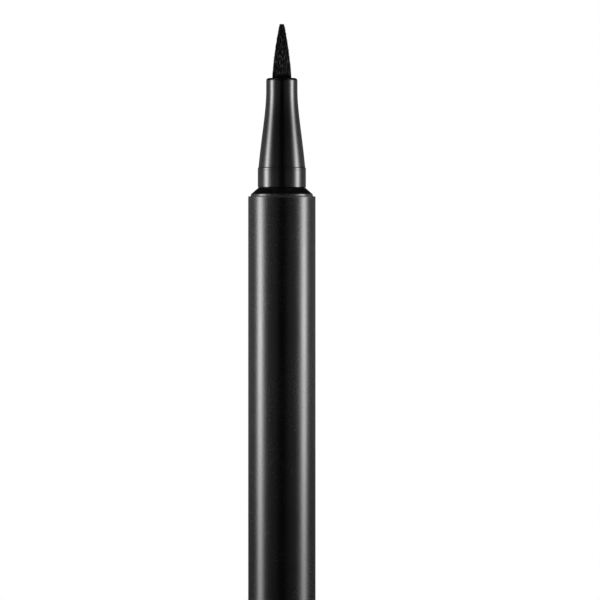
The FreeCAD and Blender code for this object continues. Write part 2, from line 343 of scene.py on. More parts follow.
def recess_wall():
    """Ends of the sloping wall in the cap's mouth that goes round the shoulder, outer end first."""
    outer = (shoulder_r + recess_clearance, cap_mouth - flange_edge - recess_clearance)
    inner = (sleeve_bore_r, cap_mouth - shoulder_height - recess_clearance)
    return outer, inner


def recess_height(radius):
    """Height of that sloping wall at a radius."""
    (outer_r, outer_z), (inner_r, inner_z) = recess_wall()
    return outer_z + (inner_z - outer_z) * (outer_r - radius) / (outer_r - inner_r)


# Shape trees


def shape_tree(name, sizes, counts):
    """A Geometry Nodes tree with a starting shape, named sizes and counts, and a finish as its inputs."""
    tree = bpy.data.node_groups.new(name, "GeometryNodeTree")
    tree.interface.new_socket("Start", in_out="INPUT", socket_type="NodeSocketGeometry")
    for label in sizes:
        tree.interface.new_socket(label, in_out="INPUT", socket_type="NodeSocketFloat")
    for label in counts:
        tree.interface.new_socket(label, in_out="INPUT", socket_type="NodeSocketInt")
    tree.interface.new_socket("Finish", in_out="INPUT", socket_type="NodeSocketMaterial")
    tree.interface.new_socket("Piece", in_out="OUTPUT", socket_type="NodeSocketGeometry")
    wiring = Wiring(tree)
    return wiring, wiring.node("NodeGroupInput").outputs


def close_tree(wiring, given, shape):
    """Ends a tree: one plain mesh, smooth but for its corners, with its finish."""
    real = wiring.node("GeometryNodeRealizeInstances", {"Geometry": shape})
    angle = wiring.node("GeometryNodeInputMeshEdgeAngle")
    corner = wiring.node(
        "FunctionNodeCompare",
        {"A": angle.outputs["Unsigned Angle"], "B": SHARP_TURN},
        data_type="FLOAT",
        operation="GREATER_THAN",
    )
    smooth = wiring.node("GeometryNodeSetShadeSmooth", {"Geometry": real.outputs["Geometry"]})
    sharp = wiring.node(
        "GeometryNodeStoreNamedAttribute",
        {"Geometry": smooth.outputs["Geometry"], "Name": "sharp_edge", "Value": corner.outputs["Result"]},
        data_type="BOOLEAN",
        domain="EDGE",
    )
    finish = {"Geometry": sharp.outputs["Geometry"], "Material": given["Finish"]}
    finished = wiring.node("GeometryNodeSetMaterial", finish)
    wiring.node("NodeGroupOutput", {"Piece": finished.outputs["Geometry"]})
    return wiring.tree


def turned_tree():
    """Rounds the corners of an outline and turns it about the pen's axis."""
    wiring, given = shape_tree("turned", sizes=(), counts=("Segments", "Arc Points"))
    outline = wiring.node("GeometryNodeMeshToCurve", {"Mesh": given["Start"]})
    rounding = wiring.node("GeometryNodeInputNamedAttribute", {"Name": "rounding"}, data_type="FLOAT")
    rounded = wiring.node(
        "GeometryNodeFilletCurve",
        {
            "Curve": outline.outputs["Curve"],
            "Count": given["Arc Points"],
            "Radius": rounding.outputs["Attribute"],
            "Limit Radius": True,
        },
        mode="POLY",
    )
    position = wiring.node("GeometryNodeInputPosition")
    part = wiring.node("ShaderNodeSeparateXYZ", {"Vector": position.outputs["Position"]})
    across = wiring.math("SUBTRACT", part.outputs["X"], LATHE_R)
    down = wiring.math("MULTIPLY", part.outputs["Z"], -1)
    section = wiring.node("ShaderNodeCombineXYZ", {"X": across, "Y": down})
    placed = wiring.node(
        "GeometryNodeSetPosition",
        {"Geometry": rounded.outputs["Curve"], "Position": section.outputs["Vector"]},
    )
    circle = wiring.node(
        "GeometryNodeCurvePrimitiveCircle", {"Resolution": given["Segments"], "Radius": LATHE_R}
    )
    upright = wiring.node("GeometryNodeSetCurveNormal", {"Curve": circle.outputs["Curve"]}, mode="Z_UP")
    turned = wiring.node(
        "GeometryNodeCurveToMesh",
        {"Curve": upright.outputs["Curve"], "Profile Curve": placed.outputs["Geometry"]},
    )
    outwards = wiring.node("GeometryNodeFlipFaces", {"Mesh": turned.outputs["Mesh"]})
    merged = wiring.node(
        "GeometryNodeMergeByDistance",
        {"Geometry": outwards.outputs["Mesh"], "Distance": MERGE_DISTANCE},
    )
    return close_tree(wiring, given, merged.outputs["Geometry"])


def ribbed_tree():
    """Adds straight bars about the axis to a turned piece and makes one solid of them."""
    sizes = ("Inner Radius", "Outer Radius", "Width", "Bottom", "Top")
    wiring, given = shape_tree("ribbed", sizes, counts=("Count",))
    inner, outer = given["Inner Radius"], given["Outer Radius"]
    bottom, top = given["Bottom"], given["Top"]
    thickness = wiring.math("SUBTRACT", outer, inner)
    length = wiring.math("SUBTRACT", top, bottom)
    size = wiring.node("ShaderNodeCombineXYZ", {"X": thickness, "Y": given["Width"], "Z": length})
    middle_r = wiring.math("MULTIPLY", wiring.math("ADD", inner, outer), 0.5)
    middle_z = wiring.math("MULTIPLY", wiring.math("ADD", bottom, top), 0.5)
    middle = wiring.node("ShaderNodeCombineXYZ", {"X": middle_r, "Z": middle_z})
    bar = wiring.node("GeometryNodeMeshCube", {"Size": size.outputs["Vector"]})
    placed = wiring.node(
        "GeometryNodeTransform",
        {"Geometry": bar.outputs["Mesh"], "Translation": middle.outputs["Vector"]},
    )
    points = wiring.node("GeometryNodePoints", {"Count": given["Count"]})
    index = wiring.node("GeometryNodeInputIndex")
    step = wiring.math("DIVIDE", math.tau, given["Count"])
    turn = wiring.node("ShaderNodeCombineXYZ", {"Z": wiring.math("MULTIPLY", index.outputs["Index"], step)})
    bars = wiring.node(
        "GeometryNodeInstanceOnPoints",
        {
            "Points": points.outputs["Points"],
            "Instance": placed.outputs["Geometry"],
            "Rotation": turn.outputs["Vector"],
        },
    )
    real = wiring.node("GeometryNodeRealizeInstances", {"Geometry": bars.outputs["Instances"]})
    joined = wiring.node("GeometryNodeMeshBoolean", operation="UNION", solver="EXACT")
    wiring.feed(joined.inputs["Mesh 2"], given["Start"])
    wiring.feed(joined.inputs["Mesh 2"], real.outputs["Geometry"])
    return close_tree(wiring, given, joined.outputs["Mesh"])


def coil_tree():
    """An open coil of round wire."""
    sizes = ("Turns", "Radius", "Wire", "Bottom", "Height")
    wiring, given = shape_tree("coil", sizes, counts=("Steps", "Sides"))
    spiral = wiring.node(
        "GeometryNodeCurveSpiral",
        {
            "Resolution": given["Steps"],
            "Rotations": given["Turns"],
            "Start Radius": given["Radius"],
            "End Radius": given["Radius"],
            "Height": given["Height"],
        },
    )
    wire_r = wiring.math("MULTIPLY", given["Wire"], 0.5)
    section = wiring.node(
        "GeometryNodeCurvePrimitiveCircle", {"Resolution": given["Sides"], "Radius": wire_r}
    )
    coil = wiring.node(
        "GeometryNodeCurveToMesh",
        {
            "Curve": spiral.outputs["Curve"],
            "Profile Curve": section.outputs["Curve"],
            "Fill Caps": True,
        },
    )
    lift = wiring.node("ShaderNodeCombineXYZ", {"Z": given["Bottom"]})
    placed = wiring.node(
        "GeometryNodeTransform", {"Geometry": coil.outputs["Mesh"], "Translation": lift.outputs["Vector"]}
    )
    return close_tree(wiring, given, placed.outputs["Geometry"])


def felted_tree():
    """Roughens a turned piece above a height and lays loose fibre ends on it, pointing up it."""
    sizes = ("From Height", "To Height", "Unevenness", "Grain", "Fibres")
    fibre_sizes = ("Fibre Length", "Fibre Radius", "Fibre Lift", "Fibre Spread")
    wiring, given = shape_tree("felted", sizes + fibre_sizes, counts=("Seed",))
    position = wiring.node("GeometryNodeInputPosition").outputs["Position"]
    normal = wiring.node("GeometryNodeInputNormal").outputs["Normal"]
    height = wiring.node("ShaderNodeSeparateXYZ", {"Vector": position}).outputs["Z"]
    bare = wiring.node(
        "FunctionNodeCompare",
        {"A": height, "B": given["From Height"]},
        data_type="FLOAT",
        operation="GREATER_THAN",
    ).outputs["Result"]
    furred = wiring.math("MULTIPLY", bare, wiring.math("LESS_THAN", height, given["To Height"]))
    swell = wiring.math("SUBTRACT", wiring.noise(position, given["Grain"], FELT_DETAIL), NOISE_MIDDLE)
    offset = wiring.scaled(normal, wiring.math("MULTIPLY", swell, given["Unevenness"]))
    uneven = wiring.node(
        "GeometryNodeSetPosition", {"Geometry": given["Start"], "Selection": bare, "Offset": offset}
    ).outputs["Geometry"]
    points = wiring.node(
        "GeometryNodeDistributePointsOnFaces",
        {"Mesh": uneven, "Selection": furred, "Density": given["Fibres"], "Seed": given["Seed"]},
    ).outputs
    stray = wiring.node(
        "FunctionNodeRandomValue",
        {"Min": (-1.0,) * 3, "Max": (1.0,) * 3, "Seed": given["Seed"]},
        data_type="FLOAT_VECTOR",
    ).outputs["Value"]
    spread = wiring.scaled(stray, given["Fibre Spread"])
    lift = wiring.scaled(points["Normal"], given["Fibre Lift"])
    up = wiring.node("ShaderNodeCombineXYZ", {"Z": 1.0}).outputs["Vector"]
    way = wiring.vector_math("ADD", up, wiring.vector_math("ADD", spread, lift))
    heading = wiring.node("FunctionNodeAlignRotationToVector", {"Vector": way}, axis="Z")
    fibre_end = wiring.node(
        "GeometryNodeMeshCone",
        {
            "Vertices": FIBRE_SIDES,
            "Radius Top": wiring.math("MULTIPLY", given["Fibre Radius"], fibre_tip_share),
            "Radius Bottom": given["Fibre Radius"],
            "Depth": given["Fibre Length"],
        },
    )
    laid = wiring.node(
        "GeometryNodeInstanceOnPoints",
        {
            "Points": points["Points"],
            "Instance": fibre_end.outputs["Mesh"],
            "Rotation": heading.outputs["Rotation"],
        },
    )
    real = wiring.node("GeometryNodeRealizeInstances", {"Geometry": laid.outputs["Instances"]})
    joined = wiring.node("GeometryNodeJoinGeometry")
    wiring.feed(joined.inputs["Geometry"], uneven)
    wiring.feed(joined.inputs["Geometry"], real.outputs["Geometry"])
    return close_tree(wiring, given, joined.outputs["Geometry"])


TURNED = turned_tree()
RIBBED = ribbed_tree()
COIL = coil_tree()
FELTED = felted_tree()


def add_object(name, data):
    obj = bpy.data.objects.new(name, data)
    bpy.context.scene.collection.objects.link(obj)
    return obj


def shape(obj, tree, **sizes):
    """Puts a tree on an object, with its sizes, and keeps the plain mesh that comes out."""
    modifier = obj.modifiers.new(tree.name, "NODES")
    modifier.node_group = tree
    for item in tree.interface.items_tree:
        label = item.name.lower().replace(" ", "_")
        if label in sizes:
            modifier[item.identifier] = sizes[label]
    graph = bpy.context.evaluated_depsgraph_get()
    made = bpy.data.meshes.new_from_object(
        obj.evaluated_get(graph), preserve_all_data_layers=True, depsgraph=graph
    )
    obj.modifiers.remove(modifier)
    obj.data = made
    return obj


def turn(name, outline, finish, segments=TURN_SEGMENTS):
    """A turned piece."""
    obj = add_object(name, outline.mesh(name))
    return shape(obj, TURNED, segments=segments, arc_points=ARC_POINTS, finish=finish)


def fit(piece, body, slot, *nodes):
    """Joins a piece to the frame: its body and the nodes that it stands for. Its slot of finish is not
    used.
    """
    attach(piece, body)
    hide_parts(*nodes)
    return piece


# Shader groups

GRAIN_DETAIL = 2.0
PATCH_DETAIL = 3.0
FIBRE_DETAIL = 1.0
WEAR_CORE_SHARE = 0.5  # of the wear's reach, up to where it is full
WEAR_LEAST_SHARE = 0.25  # of full wear, between its specks
WEAR_BAND = (0.38, 0.7)  # of the noise that it follows, as the next three
STRAND_BAND = (0.4, 0.62)
PAINTED_GLINT_BAND = (0.57, 0.69)
GLOSS_BAND = (0.3, 0.7)


def shader_group(name, inputs, outputs):
    """A shader node group with named values in and out."""
    tree = bpy.data.node_groups.new(name, "ShaderNodeTree")
    for label, default in inputs.items():
        socket = tree.interface.new_socket(label, in_out="INPUT", socket_type="NodeSocketFloat")
        socket.default_value = default
    for label in outputs:
        tree.interface.new_socket(label, in_out="OUTPUT", socket_type="NodeSocketFloat")
    wiring = Wiring(tree)
    return wiring, wiring.node("NodeGroupInput").outputs


def moulded_grain_group():
    """Fine grain of moulded plastic, and slow patches of more and less gloss."""
    inputs = {"Grain Scale": 9000, "Patch Scale": 120}
    wiring, given = shader_group("moulded_grain", inputs, ("Grain", "Patch"))
    place = wiring.node("ShaderNodeTexCoord").outputs["Object"]
    grain = wiring.noise(place, given["Grain Scale"], GRAIN_DETAIL)
    patch = wiring.noise(place, given["Patch Scale"], PATCH_DETAIL)
    wiring.node("NodeGroupOutput", {"Grain": grain, "Patch": patch})
    return wiring.tree


def rim_wear_group():
    """Uneven handling wear along a round edge, given by the edge's radius and height."""
    place_inputs = {"Rim Radius": 0, "Rim Height": 0, "Reach": sharp_wear_reach}
    inputs = {**place_inputs, "Speck Scale": 6000, "Amount": 0.8}
    wiring, given = shader_group("rim_wear", inputs, ("Wear",))
    place = wiring.node("ShaderNodeTexCoord").outputs["Object"]
    height = wiring.node("ShaderNodeSeparateXYZ", {"Vector": place}).outputs["Z"]
    radius = wiring.length(wiring.vector_math("MULTIPLY", place, (1.0, 1.0, 0.0)))
    out = wiring.math("SUBTRACT", radius, given["Rim Radius"])
    up = wiring.math("SUBTRACT", height, given["Rim Height"])
    off = wiring.length(wiring.node("ShaderNodeCombineXYZ", {"X": out, "Y": up}).outputs["Vector"])
    off_share = wiring.math("DIVIDE", off, given["Reach"])
    near = wiring.ramp_up(off_share, WEAR_CORE_SHARE, 1.0, 1.0, 0.0)
    specks = wiring.noise(place, given["Speck Scale"], GRAIN_DETAIL)
    uneven = wiring.ramp_up(specks, *WEAR_BAND, WEAR_LEAST_SHARE, 1.0)
    wear = wiring.math("MULTIPLY", wiring.math("MULTIPLY", near, uneven), given["Amount"])
    wiring.node("NodeGroupOutput", {"Wear": wear})
    return wiring.tree


def fibre_group():
    """Fibres that run up a felt or a wick, and specks of painted glint where they catch the light."""
    inputs = {"Fibre Scale": 8000, "Run Share": 0.12, "Speck Scale": 6000}
    wiring, given = shader_group("fibres", inputs, ("Strand", "Speck"))
    place = wiring.node("ShaderNodeTexCoord").outputs["Object"]
    stretch = wiring.node("ShaderNodeCombineXYZ", {"X": 1.0, "Y": 1.0, "Z": given["Run Share"]})
    along = wiring.vector_math("MULTIPLY", place, stretch.outputs["Vector"])
    strand = wiring.ramp_up(wiring.noise(along, given["Fibre Scale"], FIBRE_DETAIL), *STRAND_BAND)
    # specks of painted glint, where the fibres catch the light
    speck = wiring.ramp_up(wiring.noise(along, given["Speck Scale"], FIBRE_DETAIL), *PAINTED_GLINT_BAND)
    wiring.node("NodeGroupOutput", {"Strand": strand, "Speck": speck})
    return wiring.tree


MOULDED_GRAIN = moulded_grain_group()
RIM_WEAR = rim_wear_group()
FIBRES = fibre_group()


# Finishes


def new_finish(name):
    """An empty material, its wiring and its Principled shader."""
    material = bpy.data.materials.new(name)
    material.use_nodes = True
    wiring = Wiring(material.node_tree)
    shader = material.node_tree.nodes["Principled BSDF"]
    return material, wiring, shader


def place_group(wiring, tree, **values):
    """A shader group in a material, with its own values."""
    node = wiring.node("ShaderNodeGroup", node_tree=tree)
    for socket in node.inputs:
        label = socket.name.lower().replace(" ", "_")
        if label in values:
            socket.default_value = values[label]
    return node.outputs


def between(wiring, share, low, high):
    """A colour between two, by a share."""
    mix = wiring.node("ShaderNodeMix", {"Factor": share}, data_type="RGBA")
    wiring.feed(mix.inputs["A"], low)
    wiring.feed(mix.inputs["B"], high)
    return mix.outputs["Result"]


def grey(value, blue=1.0):
    """A grey, with a little more or less blue."""
    return (value, value, value * blue, 1.0)


def paint(wiring, shader, share, low, high):
    """Base colour between two, by a share."""
    wiring.feed(shader.inputs["Base Color"], between(wiring, share, low, high))


def dull(wiring, shader, share, least, most):
    """Roughness between two values, by a share."""
    wiring.feed(shader.inputs["Roughness"], wiring.ramp_up(share, *GLOSS_BAND, least, most))


def raise_grain(wiring, shader, height, depth, strength=1.0):
    """Relief of a surface, from a height and its depth."""
    bump = wiring.node("ShaderNodeBump", {"Height": height, "Distance": depth, "Strength": strength})
    wiring.feed(shader.inputs["Normal"], bump.outputs["Normal"])


PIGMENTS = (grey(0.0008), grey(0.0018, blue=1.05))
WORN_PIGMENT = grey(0.025)
WORN_ROUGHNESS = 0.3  # what full wear adds
BARREL_GLOSS = {
    "roughness": 0.2325,
    "swing": 0.025,
    "grain_scale": 5000,
    "grain_swing": 0.24,
    "grain_depth": 0.000008,
}
FRONT_GLOSS = {
    "roughness": 0.165,
    "swing": 0.02,
    "grain_scale": 6000,
    "grain_swing": 0.24,
    "grain_depth": 0.000005,
}


def black_plastic(name, rims, roughness, swing, grain_scale, grain_swing, grain_depth):
    """Black moulded plastic with a fine grain, a satin gloss and worn rims."""
    material, wiring, shader = new_finish(name)
    surface = place_group(wiring, MOULDED_GRAIN, grain_scale=grain_scale)
    wear = None
    for rim in rims:
        line = place_group(wiring, RIM_WEAR, **rim)["Wear"]
        wear = line if wear is None else wiring.math("MAXIMUM", wear, line)
    pigment = between(wiring, surface["Patch"], *PIGMENTS)
    paint(wiring, shader, wear, pigment, WORN_PIGMENT)
    gloss = wiring.ramp_up(surface["Patch"], *GLOSS_BAND, roughness - swing, roughness + swing)
    fine = wiring.math("SUBTRACT", surface["Grain"], NOISE_MIDDLE)
    grained = wiring.math("ADD", gloss, wiring.math("MULTIPLY", fine, grain_swing))
    worn = wiring.math("MULTIPLY", wear, WORN_ROUGHNESS)
    wiring.feed(shader.inputs["Roughness"], wiring.math("ADD", grained, worn))
    raise_grain(wiring, shader, surface["Grain"], grain_depth)
    return material


def worn_rim(radius, height, reach):
    """A worn edge, as values of the rim wear: where it is, and how far from there the wear reaches."""
    return {"rim_radius": radius, "rim_height": height, "reach": reach}


def worn_rounding(radius, height, rounding):
    """The same of a rounded edge, given by its corner, where the wear takes in the rounding."""
    return worn_rim(radius, height, sharp_wear_reach + rounding / 2)


def barrel_satin():
    rims = [
        worn_rounding(barrel_r, barrel_front, barrel_front_rounding),
        worn_rounding(barrel_r, barrel_rear, barrel_rear_rounding),
        worn_rounding(cap_r, cap_mouth, cap_mouth_rounding),
        worn_rounding(cap_r, cap_end, cap_end_rounding),
    ]
    return black_plastic("barrel_satin", rims, **BARREL_GLOSS)


def front_satin():
    rims = [
        worn_rim(shoulder_r, barrel_front + flange_edge / 2, flange_wear_reach),
        worn_rim(shoulder_r, barrel_rear - flange_edge / 2, flange_wear_reach),
        worn_rounding(collar_r, post_end, post_rounding),
    ]
    return black_plastic("front_satin", rims, **FRONT_GLOSS)


def sleeve_satin():
    _, (bore_r, bore_top) = recess_wall()
    rims = [worn_rounding(bore_r, bore_top, broken_edge)]
    return black_plastic("sleeve_satin", rims, **FRONT_GLOSS)


def nib_felt():
    """Matte black felt with painted glints where its fibres catch the light, painted shade at its foot by
    the nozzle's mouth, and darker towards its point.
    """
    material, wiring, shader = new_finish("nib_felt")
    # speck is a painted glint; the last grey is the painted shade at the foot and the darker tone towards
    # the point
    shade, strand, speck, foot_shade_and_point_dark = grey(0.0008), grey(0.0104), grey(0.067), grey(0.001)
    dark_point_share = 0.5
    fibres = place_group(wiring, FIBRES, fibre_scale=12000, run_share=0.14, speck_scale=9500)
    felt_and_glints = between(wiring, fibres["Speck"], between(wiring, fibres["Strand"], shade, strand), speck)
    place = wiring.node("ShaderNodeTexCoord").outputs["Object"]
    height = wiring.node("ShaderNodeSeparateXYZ", {"Vector": place}).outputs["Z"]
    # painted shade where the felt leaves the nozzle's mouth
    foot = wiring.ramp_up(height, mouth + foot_shade_start, mouth + foot_shade_end, 1.0, 0.0)
    # darker towards the point
    point = wiring.ramp_up(height, mouth + dark_point_start, tip, 0.0, dark_point_share)
    paint(wiring, shader, wiring.math("MAXIMUM", foot, point), felt_and_glints, foot_shade_and_point_dark)
    shader.inputs["Roughness"].default_value = 0.9
    shader.inputs["Specular IOR Level"].default_value = 0.01
    raise_grain(wiring, shader, fibres["Strand"], depth=0.00003, strength=0.8)
    return material


def seal_white():
    """Milky moulded plastic of the inner cap."""
    material, wiring, shader = new_finish("seal_white")
    surface = place_group(wiring, MOULDED_GRAIN, grain_scale=5000, patch_scale=260)
    paint(wiring, shader, surface["Patch"], low=grey(0.7, blue=0.95), high=grey(0.8, blue=0.97))
    dull(wiring, shader, surface["Patch"], least=0.38, most=0.5)
    raise_grain(wiring, shader, surface["Grain"], depth=0.000002)
    return material


def drawn_steel():
    """Spring wire, with the fine marks of its drawing."""
    material, wiring, shader = new_finish("drawn_steel")
    surface = place_group(wiring, MOULDED_GRAIN, grain_scale=14000, patch_scale=900)
    paint(wiring, shader, surface["Patch"], low=grey(0.5, blue=1.02), high=grey(0.66, blue=1.01))
    dull(wiring, shader, surface["Grain"], least=0.22, most=0.38)
    shader.inputs["Metallic"].default_value = 1.0
    return material


def soaked_wick():
    """Fibre core, soaked black, with specks of painted glint on its fibres."""
    material, wiring, shader = new_finish("soaked_wick")
    fibres = place_group(wiring, FIBRES, fibre_scale=5000, run_share=0.03)
    body = between(wiring, fibres["Strand"], grey(0.006), grey(0.03))
    # specks of painted glint where the fibres catch the light
    paint(wiring, shader, fibres["Speck"], low=body, high=grey(0.06))
    dull(wiring, shader, fibres["Strand"], least=0.6, most=0.9)
    raise_grain(wiring, shader, fibres["Strand"], depth=0.00004, strength=0.8)
    return material


def milky_film():
    """Thin film sleeve with slight creases."""
    material, wiring, shader = new_finish("milky_film")
    surface = place_group(wiring, MOULDED_GRAIN, grain_scale=600, patch_scale=180)
    paint(wiring, shader, surface["Patch"], low=grey(0.62, blue=0.98), high=grey(0.74, blue=0.98))
    dull(wiring, shader, surface["Patch"], least=0.2, most=0.34)
    raise_grain(wiring, shader, surface["Grain"], depth=0.00003, strength=0.6)
    return material


BARREL_SATIN = barrel_satin()
FRONT_SATIN = front_satin()
SLEEVE_SATIN = sleeve_satin()
NIB_FELT = nib_felt()
SEAL_WHITE = seal_white()
DRAWN_STEEL = drawn_steel()
SOAKED_WICK = soaked_wick()
MILKY_FILM = milky_film()


# Pieces


def make_barrel():
    """Straight tube with rounded rims, and ribs inside that hold the reservoir off its wall."""
    bore_r = barrel_r - barrel_wall
    outline = (
        Outline(bore_r, barrel_rear + barrel_lead_in)
        .to(bore_r + barrel_lead_in, barrel_rear)
        .to(barrel_r, barrel_rear, barrel_rear_rounding)
        .to(barrel_r, barrel_front, barrel_front_rounding)
        .to(bore_r + barrel_lead_in, barrel_front)
        .to(bore_r, barrel_front - barrel_lead_in)
    )
    tube = turn("barrel_tube", outline, BARREL_SATIN)
    shape(
        tube,
        RIBBED,
        count=barrel_rib_count,
        inner_radius=bore_r - barrel_rib_height,
        outer_radius=bore_r + barrel_wall / 2,
        width=barrel_rib_width,
        bottom=core_rear,
        top=core_front,
        finish=BARREL_SATIN,
    )
    return fit(tube, "pen", "barrel_plastic", "barrel")


def make_nozzle():
    """Flared front piece, with ribs in its bore that grip the nib's shank."""
    outline = (
        Outline(nozzle_bore_r, nozzle_tail)
        .to(nozzle_tail_r - nozzle_tail_bevel, nozzle_tail)
        .to(nozzle_tail_r, nozzle_tail + nozzle_tail_bevel)
        .to(nozzle_tail_r, seam)
        .to(nozzle_foot_r, seam, seam_rounding)
        .follow(flare_points())
        .to(mouth_r, mouth - mouth_crown, mouth_rounding)
        .to(nozzle_bore_r, mouth, broken_edge)
    )
    nozzle = turn("nozzle_shell", outline, FRONT_SATIN)
    shape(
        nozzle,
        RIBBED,
        count=grip_rib_count,
        inner_radius=nib_shank_r + press_clearance,
        outer_radius=(nozzle_bore_r + nozzle_tail_r) / 2,
        width=grip_rib_width,
        bottom=nozzle_tail,
        top=mouth - nib_seat_depth,
        finish=FRONT_SATIN,
    )
    return fit(nozzle, "pen", "front_plastic", "nozzle")


def make_collar():
    """Collar that the cap slides on, the shoulder below it and the beaded plug in the barrel."""
    bore_r = nozzle_tail_r + press_clearance
    chamber_r = plug_core_r - plug_wall
    chamber_top = nozzle_tail - seat_gap
    witness = seam - witness_drop
    outline = (
        Outline(chamber_r, neck_plug_end)
        .to(plug_core_r, neck_plug_end, broken_edge)
        .beads(neck_plug_end, barrel_front)
        .to(plug_core_r, barrel_front)
        .shoulder(barrel_front, 1)
        .to(collar_r, witness - witness_width / 2, broken_edge)
        .to(collar_r - witness_depth, witness, broken_edge)
        .to(collar_r, witness + witness_width / 2, broken_edge)
        .to(collar_r, seam, seam_rounding)
        .to(bore_r, seam)
        .to(bore_r, chamber_top)
        .to(chamber_r, chamber_top)
    )
    return fit(turn("collar_ring", outline, FRONT_SATIN), "pen", "front_plastic", "neck_collar")


def make_nib():
    """Felt rod: its exposed point, its seat in the nozzle and its shank down to the reservoir."""
    flank_foot = (nib_r, mouth)
    flank_top = (nib_tip_r, tip - nib_tip_dome)
    outline = (
        Outline(0, nib_tail)
        .to(nib_shank_r - nib_tail_bevel, nib_tail)
        .to(nib_shank_r, nib_tail + nib_tail_bevel)
        .to(nib_shank_r, mouth - nib_seat_depth)
        .to(nib_r, mouth - nib_seat_depth)
        .to(*flank_foot)
        .follow(arc_points(flank_foot, flank_top, nib_flank_bulge), nib_tip_rounding)
        .to(0, tip)
    )
    nib = turn("felt_point", outline, NIB_FELT)
    shape(
        nib,
        FELTED,
        from_height=mouth + seat_gap,
        to_height=tip - 2 * fibre_length,
        unevenness=felt_unevenness,
        grain=felt_grain,
        seed=felt_seed,
        fibres=fibre_density,
        fibre_length=fibre_length,
        fibre_radius=fibre_r,
        fibre_lift=fibre_lift_share,
        fibre_spread=fibre_spread_share,
        finish=NIB_FELT,
    )
    return fit(nib, "pen", "felt", "felt_nib")


def make_reservoir():
    """Fibre core with the hole that the nib's tail has pressed into it."""
    hole_r = nib_shank_r + press_clearance
    outline = (
        Outline(0, core_rear)
        .to(core_r, core_rear, broken_edge)
        .to(core_r, core_front, broken_edge)
        .to(hole_r, core_front)
        .to(hole_r, nib_tail - nib_hole_clearance)
        .to(0, nib_tail - nib_hole_clearance)
    )
    return fit(turn("reservoir_core", outline, SOAKED_WICK), "pen", "ink_fibre", "ink_reservoir")


def make_film():
    """Film sleeve about the fibre core."""
    bore_r = core_r + press_clearance
    outline = (
        Outline(bore_r, film_rear)
        .to(film_r, film_rear)
        .to(film_r, film_front)
        .to(bore_r, film_front)
    )
    return fit(turn("reservoir_sleeve", outline, MILKY_FILM), "pen", "film", "reservoir_film")


def make_rear_plug():
    """Plug that closes the barrel, its fingers behind the reservoir and the post that carries the cap."""
    plug_top = finger_end - finger_length
    plug_bore_r = plug_core_r - plug_wall
    post_bore_r = collar_r - post_wall
    outline = (
        Outline(0, post_end)
        .to(collar_r, post_end, post_rounding)
        .shoulder(barrel_rear, -1)
        .to(plug_core_r, barrel_rear)
        .beads(barrel_rear, plug_top)
        .to(plug_core_r, plug_top, broken_edge)
        .to(plug_bore_r, plug_top)
        .to(plug_bore_r, barrel_rear + plug_wall)
        .to(post_bore_r, barrel_rear)
        .to(post_bore_r, post_end + post_end_wall)
        .to(0, post_end + post_end_wall)
    )
    plug = turn("tail_plug", outline, FRONT_SATIN)
    shape(
        plug,
        RIBBED,
        count=finger_count,
        inner_radius=plug_bore_r,
        outer_radius=plug_core_r - broken_edge,
        width=finger_width,
        bottom=plug_top - plug_wall,
        top=finger_end,
        finish=FRONT_SATIN,
    )
    return fit(plug, "pen", "front_plastic", "rear_plug")


def make_cap():
    """Outer shell of the cap, with the boss inside it that the spring goes round."""
    (recess_r, recess_z), _ = recess_wall()
    boss_core_r = boss_r - boss_wall
    boss_top = cap_end_wall + boss_height
    outline = (
        Outline(0, cap_end)
        .to(cap_r, cap_end, cap_end_rounding)
        .to(cap_r, cap_mouth, cap_mouth_rounding)
        .to(recess_r, cap_mouth, broken_edge)
        .to(recess_r, recess_z)
        .to(cap_bore_r, recess_height(cap_bore_r))
        .to(cap_bore_r, cap_end_wall)
        .to(boss_r, cap_end_wall)
        .to(boss_r, boss_top, broken_edge)
        .to(boss_core_r, boss_top, broken_edge)
        .to(boss_core_r, cap_end_wall)
        .to(0, cap_end_wall)
    )
    return fit(turn("cap_body", outline, BARREL_SATIN), "cap", "barrel_plastic", "cap_shell")


def make_sleeve():
    """Sleeve in the cap's mouth."""
    _, (bore_r, bore_top) = recess_wall()
    outline = (
        Outline(bore_r, sleeve_end, broken_edge)
        .to(sleeve_r, sleeve_end)
        .to(sleeve_r, recess_height(sleeve_r))
        .to(bore_r, bore_top, broken_edge)
    )
    return fit(turn("cap_liner", outline, SLEEVE_SATIN), "cap", "front_plastic", "cap_sleeve")


def make_inner_cap():
    """Sprung cup that seals over the nib."""
    bore_r = cup_r - cup_wall
    boss_core_r = boss_r - boss_wall
    lip_foot = cup_top - cup_lip_depth
    outline = (
        Outline(0, cup_end)
        .to(boss_core_r, cup_end)
        .to(boss_core_r, cup_boss_end, broken_edge)
        .to(boss_r, cup_boss_end, broken_edge)
        .to(boss_r, cup_end)
        .to(cup_r, cup_end, broken_edge)
        .to(cup_r, cup_top, broken_edge)
        .to(cup_lip_r + cup_lip_bevel, cup_top, broken_edge)
        .to(cup_lip_r, cup_top - cup_lip_bevel, broken_edge)
        .to(cup_lip_r, lip_foot)
        .to(bore_r, lip_foot - (bore_r - cup_lip_r))
        .to(bore_r, cup_end + cup_end_wall)
        .to(0, cup_end + cup_end_wall)
    )
    return fit(turn("inner_cup", outline, SEAL_WHITE), "inner_cap", "seal_plastic", "inner_cap")


def make_spring():
    """Coil spring behind the inner cap."""
    wire_r = coil_wire / 2
    bottom = cap_end_wall + seat_gap
    top = cup_end - seat_gap
    coil = shape(
        add_object("spring_coil", bpy.data.meshes.new("spring_coil")),
        COIL,
        turns=float(coil_turns),
        radius=coil_outer_r - wire_r,
        wire=coil_wire,
        bottom=bottom + wire_r,
        height=top - bottom - coil_wire,
        steps=coil_steps,
        sides=coil_sides,
        finish=DRAWN_STEEL,
    )
    fit(coil, "cap", "spring_steel", "cap_spring")
    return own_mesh(coil)


# Stage

